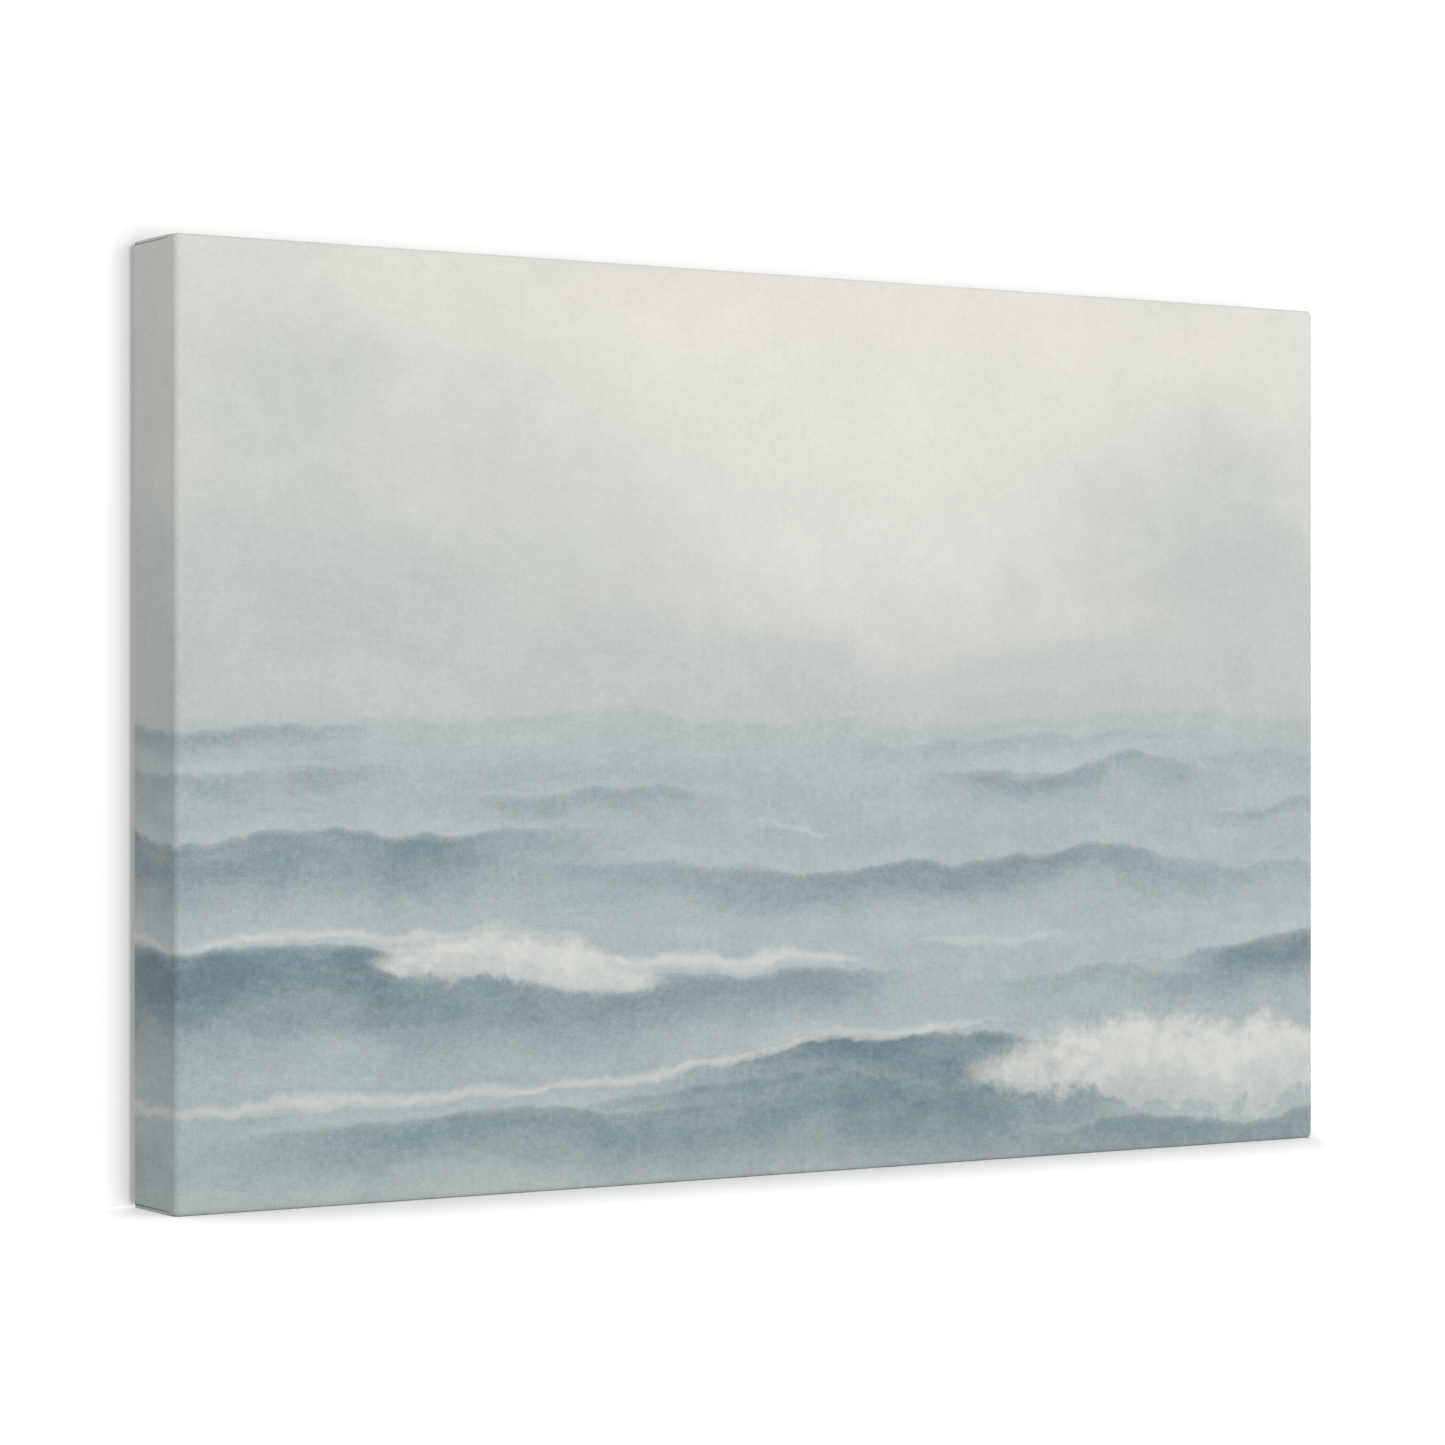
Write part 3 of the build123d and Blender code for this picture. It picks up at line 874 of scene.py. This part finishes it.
def wood(name, along, seed, ring_gap, early, late, pith, knots=()):
    """Sawn wood: growth rings round a pith line, fibre along the piece, and a few knots.

    along is 0, 1 or 2 for the axis that the grain follows; pith is where the heart lies across the grain.
    A knot is (place along the piece, place across it, size).
    """
    g = Graph(name)
    axes = g.split(object_place(g))
    length = axes[along]
    across = [axes[k] for k in range(3) if k != along]
    bend = g.noise(g.combine(length * 3.0, seed, 0.0), 1.0, 2.0) * 0.012
    u = across[0] - pith[0] + bend
    v = across[1] - pith[1] + bend
    radius = (u * u + v * v).power(0.5)
    knot_mask = 0.0
    for place, offset, size in knots:
        level = length - place
        aside = across[1] - offset
        distance = (level * level * 0.45 + aside * aside).power(0.5)
        near = g.ramp(distance, 2.6 * size, 0.0)
        radius = radius + near * near * (1.6 * size)
        core = g.ramp(distance + g.noise(object_place(g), 400) * (0.5 * size), size, 0.55 * size)
        knot_mask = core.larger(knot_mask)
    wander = g.noise(g.combine(length * 5.0, across[0] * 60, across[1] * 60), 1.0, 3.0) * 0.0016
    years = g.noise(g.combine(radius * 150, seed, 3.0), 1.0, 3.0, 0.6)
    phase = (radius + wander) * (1 / ring_gap) + years * 2.6
    saw = g.math("FRACT", phase + seed)
    late_wood = g.ramp(saw, 0.40, 0.92) * g.ramp(saw, 1.0, 0.94) * (0.72 + years * 1.7).clamped()
    fibre = g.noise(g.combine(length * 45, across[0] * 2600, across[1] * 2600), 1.0, 3.0, 0.6)
    streak = g.noise(g.combine(length * 9, across[0] * 420, across[1] * 420), 1.0, 3.0)
    colour = g.mix((late_wood * 0.75 + streak * 0.5).clamped(), early, late)
    colour = g.brighten(colour, 0.98 + fibre * 0.20 + streak * 0.12)
    if knots:
        colour = g.mix(knot_mask * 0.85, colour, KNOT_BROWN)
    g.bump(fibre + 0.4 * late_wood, WOOD_RELIEF, 0.5)
    return g.set(Base_Color=colour, Roughness=0.62 - late_wood * 0.12 + fibre * 0.1,
                 Specular_IOR_Level=0.35)


def bar_materials():
    """A piece of pine for each bar, sawn from a different place in the log."""
    x, z = WIDTH / 2, HEIGHT / 2
    top, bottom = HEIGHT - BAR_MIDDLE, BAR_MIDDLE
    # Which bar: grain axis, seed, ring gap, heart, knot
    logs = {
        "top": (0, 0.13, 2.6 * MM, (0.06, top + 0.05), (0.3 * x, top - 6 * MM, 4 * MM)),
        "bottom": (0, 0.57, 2.2 * MM, (-0.05, bottom - 0.07), (-0.5 * x, bottom + 8 * MM, 3 * MM)),
        "left": (2, 0.31, 2.4 * MM, (-x - 0.05, 0.05), (z, 2 * MM, 3.5 * MM)),
        "right": (2, 0.79, 2.8 * MM, (x + 0.06, -0.04), (0.6 * z, -3 * MM, 3 * MM)),
    }
    made = {}
    for side, (along, seed, ring_gap, pith, knot) in logs.items():
        pine = wood("pine_" + side, along, seed, ring_gap, PINE_EARLY, PINE_LATE, pith, (knot,))
        made["stretcher_bar_" + side] = pine
    return made


def steel(name, colour, roughness, scale):
    """Plated steel with fine drawing marks and duller patches."""
    g = Graph(name)
    place = object_place(g)
    marks = g.noise(place, scale, 4.0, 0.6)
    patch = g.noise(place, scale / 12, 3.0)
    tint = g.brighten(colour, 0.95 + marks * 0.25 + patch * 0.2)
    g.bump(marks, STEEL_RELIEF, 0.6)
    return g.set(Base_Color=tint, Metallic=1.0, Roughness=roughness + marks * 0.25 + patch * 0.2)


def rubber():
    """Soft grey rubber, a little dusty."""
    g = Graph("bumper_rubber")
    place = object_place(g)
    dust = g.noise(place, 700, 4.0, 0.6)
    patch = g.noise(place, 120, 3.0)
    colour = g.mix(0.5 + patch, RUBBER_DARK, RUBBER_DUSTY)
    g.bump(dust, RUBBER_RELIEF, 0.5)
    return g.set(Base_Color=g.brighten(colour, 0.97 + dust * 0.2), Roughness=0.58 + patch * 0.3,
                 Specular_IOR_Level=0.4)


def rubber_foot(node_name, name, material):
    """A round moulded foot in a bumper's place: tapered, with a rounded rim and a shallow dish."""
    low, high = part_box(node_name)
    radius = (high.x - low.x) / 2
    height = high.y - low.y
    rim = radius - FOOT_TAPER - FOOT_ROUND
    profile = [(radius, 0.0), (radius, FOOT_LIP)]
    for k in range(FOOT_ROUND_STEPS + 1):
        turn = math.pi / 2 * k / FOOT_ROUND_STEPS
        profile.append((rim + FOOT_ROUND * math.cos(turn), height - FOOT_ROUND * (1 - math.sin(turn))))
    for k in range(FOOT_ROUND_STEPS + 1):
        mix = k / FOOT_ROUND_STEPS
        profile.append((rim - FOOT_FLAT - FOOT_ROUND * mix, height - FOOT_DISH * smoothstep(0, 1, mix)))
    points = []
    for r, y in profile:
        for k in range(FOOT_SEGMENTS):
            turn = 2 * math.pi * k / FOOT_SEGMENTS
            points.append((r * math.cos(turn), y, r * math.sin(turn)))
    faces = [tuple(range(FOOT_SEGMENTS)), tuple(range(len(points) - FOOT_SEGMENTS, len(points)))[::-1]]
    for row in range(len(profile) - 1):
        for k in range(FOOT_SEGMENTS):
            a = row * FOOT_SEGMENTS + k
            b = row * FOOT_SEGMENTS + (k + 1) % FOOT_SEGMENTS
            faces.append((a, a + FOOT_SEGMENTS, b + FOOT_SEGMENTS, b))
    middle = Vector(((low.x + high.x) / 2, low.y, (low.z + high.z) / 2))
    mesh = bpy.data.meshes.new(name)
    mesh.from_pydata([middle + Vector(p) for p in points], [], faces)
    mesh.materials.append(material)
    mesh.shade_smooth()
    mesh.set_sharp_from_angle(angle=SHARP_ANGLE)
    foot = bpy.data.objects.new(name, mesh)
    bpy.context.scene.collection.objects.link(foot)
    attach(foot, "frame")
    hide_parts(node_name)


def paint_cad_nodes():
    """Gives every carried-over node its material."""
    materials = bar_materials()
    keys = {
        "rail": wood("key_wood_upright", 2, 0.2, 1.6 * MM, BEECH_EARLY, BEECH_LATE, (0.0, 0.05)),
        "stile": wood("key_wood_level", 0, 0.7, 1.6 * MM, BEECH_EARLY, BEECH_LATE, (0.05, 0.0)),
    }
    staple_wire = steel("staple_wire", ZINC, 0.34, 900)
    hanger_steel = steel("hanger_steel", BRASS_PLATE, 0.27, 700)
    for name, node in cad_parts.items():
        if name.startswith("key_"):
            materials[name] = keys[name.rsplit("_", 1)[1]]
        elif name.startswith("staples_"):
            materials[name] = staple_wire
        elif name.startswith(("sawtooth", "hanger")):
            materials[name] = hanger_steel
        if name in materials:
            node.data.materials.clear()
            node.data.materials.append(materials[name])


# ---------------------------------------------------------------------------------------------------------
# Studio
# ---------------------------------------------------------------------------------------------------------

# The stage: each backdrop is a grey that its wash lights to white, or glows by itself
WALL_GAP = 0.2 * MM
STAGE_REACH = 6.0
ROOM_REACH = 7.0
WALL_GREY, WALL_GLOW = 0.195, 0.265
FLOOR_GREY = 0.31
ROOM_GLOW = 1.0

# The lamps. A wash's place only gives its direction, towards the middle of the canvas
WORLD_LIGHT = 0.65
KEY_PLACE, KEY_SIZE, KEY_WATTS = (0.42, -3.0, 0.9), 1.7, 39
BACK_PLACE, BACK_SIZE, BACK_WATTS = (1.0, 1.7, 1.1), 0.7, 13
WASH_STRENGTH = 9.4
WASH_SPREAD = math.radians(28)
WALL_WASH_PLACE = (0.005, -1.0, 0.122)
FLOOR_WASH_PLACE = (0.0, 0.0, 2.0)

# The camera: level, turned from straight ahead, and placed from the middle of the face's plane
CAMERA_TURN = math.radians(32.14)
CAMERA_LENS_MM = 101.69
CAMERA_PLACE = (-0.7568, -1.1591, 0.1530)
CAMERA_NEAR = 0.01


def backdrop_material(name, grey, glow, one_sided):
    """Plain matt grey with a glow of its own, and clear from behind where it is one-sided."""
    material = bpy.data.materials.new(name)
    material.use_nodes = True
    nodes, links = material.node_tree.nodes, material.node_tree.links
    nodes.clear()
    output = nodes.new("ShaderNodeOutputMaterial")
    paint = nodes.new("ShaderNodeBsdfDiffuse")
    paint.inputs["Color"].default_value = (grey, grey, grey, 1)
    light = nodes.new("ShaderNodeEmission")
    light.inputs["Strength"].default_value = glow
    white = nodes.new("ShaderNodeAddShader")
    links.new(paint.outputs[0], white.inputs[0])
    links.new(light.outputs[0], white.inputs[1])
    if not one_sided:
        links.new(white.outputs[0], output.inputs[0])
        return material
    side = nodes.new("ShaderNodeNewGeometry")
    clear = nodes.new("ShaderNodeBsdfTransparent")
    choose = nodes.new("ShaderNodeMixShader")
    links.new(side.outputs["Backfacing"], choose.inputs[0])
    links.new(white.outputs[0], choose.inputs[1])
    links.new(clear.outputs[0], choose.inputs[2])
    links.new(choose.outputs[0], output.inputs[0])
    return material


def backdrop(name, corners, faces, material):
    """A surface that only the camera sees, so that it neither lights nor shades the canvas."""
    mesh = bpy.data.meshes.new(name)
    mesh.from_pydata(corners, [], faces)
    mesh.materials.append(material)
    made = bpy.data.objects.new(name, mesh)
    bpy.context.scene.collection.objects.link(made)
    made.visible_diffuse = False
    made.visible_glossy = False
    made.visible_transmission = False
    made.visible_shadow = False
    return made


def lamp(name, kind, place, **settings):
    """A lamp at a place, shining at the middle of the canvas."""
    made = bpy.data.objects.new(name, bpy.data.lights.new(name, kind))
    for key, value in settings.items():
        setattr(made.data, key, value)
    bpy.context.scene.collection.objects.link(made)
    made.location = place
    made.rotation_mode = "QUATERNION"
    made.rotation_quaternion = (Vector(place) - Vector((0, 0, HEIGHT / 2))).to_track_quat("Z", "Y")
    made.visible_camera = False
    return made


def wash_of(name, backdrop_plane, place):
    """Soft light on one backdrop alone. It leaves the canvas's shadow narrow there, and the rest white."""
    wash = lamp(name + "_wash", "SUN", place, angle=WASH_SPREAD, energy=WASH_STRENGTH)
    receivers = bpy.data.collections.new("lit_by_" + wash.name)
    receivers.objects.link(backdrop_plane)
    wash.light_linking.receiver_collection = receivers


def wall_behind():
    """A wall just behind the canvas, which the back views see through."""
    far = STAGE_REACH
    y = CAD_HIGH.y + WALL_GAP
    white = backdrop_material("wall_white", WALL_GREY, WALL_GLOW, True)
    corners = [(-far, y, 0), (far, y, 0), (far, y, far), (-far, y, far)]
    return backdrop("wall", corners, [(0, 1, 2, 3)], white)


def floor_below():
    """The pale floor that the canvas stands on."""
    far = STAGE_REACH
    white = backdrop_material("floor_white", FLOOR_GREY, 0.0, False)
    corners = [(-far, -far, 0), (far, -far, 0), (far, far, 0), (-far, far, 0)]
    return backdrop("floor", corners, [(0, 1, 2, 3)], white)


def white_room():
    """An even white box round the stage."""
    ends = (-ROOM_REACH, ROOM_REACH)
    corners = [(x, y, z) for z in ends for y in ends for x in ends]
    faces = [(0, 1, 3, 2), (4, 5, 7, 6), (0, 1, 5, 4), (2, 3, 7, 6), (0, 2, 6, 4), (1, 3, 7, 5)]
    backdrop("room", corners, faces, backdrop_material("room_white", 0.0, ROOM_GLOW, False))


def soft_light():
    """Even light from all round, a large lamp in front and a small one behind."""
    world = bpy.data.worlds.new("studio")
    world.use_nodes = True
    background = world.node_tree.nodes["Background"]
    background.inputs["Color"].default_value = (1, 1, 1, 1)
    background.inputs["Strength"].default_value = WORLD_LIGHT
    bpy.context.scene.world = world
    lamp("key", "AREA", KEY_PLACE, shape="DISK", size=KEY_SIZE, energy=KEY_WATTS)
    lamp("back", "AREA", BACK_PLACE, shape="DISK", size=BACK_SIZE, energy=BACK_WATTS)


def photograph_camera():
    """The camera, and plain colours for its picture."""
    camera = bpy.data.objects.new("camera", bpy.data.cameras.new("camera"))
    bpy.context.scene.collection.objects.link(camera)
    camera.data.lens = CAMERA_LENS_MM
    camera.data.clip_start = CAMERA_NEAR
    camera.location = (CAMERA_PLACE[0], FRONT_Y + CAMERA_PLACE[1], CAMERA_PLACE[2])
    camera.rotation_euler = (math.pi / 2, 0, -CAMERA_TURN)
    bpy.context.scene.camera = camera
    bpy.context.scene.view_settings.view_transform = "Standard"


def studio():
    """The stage, its light and the camera."""
    wall = wall_behind()
    floor = floor_below()
    white_room()
    soft_light()
    wash_of("wall", wall, WALL_WASH_PLACE)
    wash_of("floor", floor, FLOOR_WASH_PLACE)
    photograph_camera()


cloth = build_cloth()
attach(cloth, "frame")
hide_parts("canvas")
paint_cad_nodes()
foot_rubber = rubber()
for side in ("left", "right"):
    rubber_foot("bumper_" + side, "rubber_foot_" + side, foot_rubber)
studio()
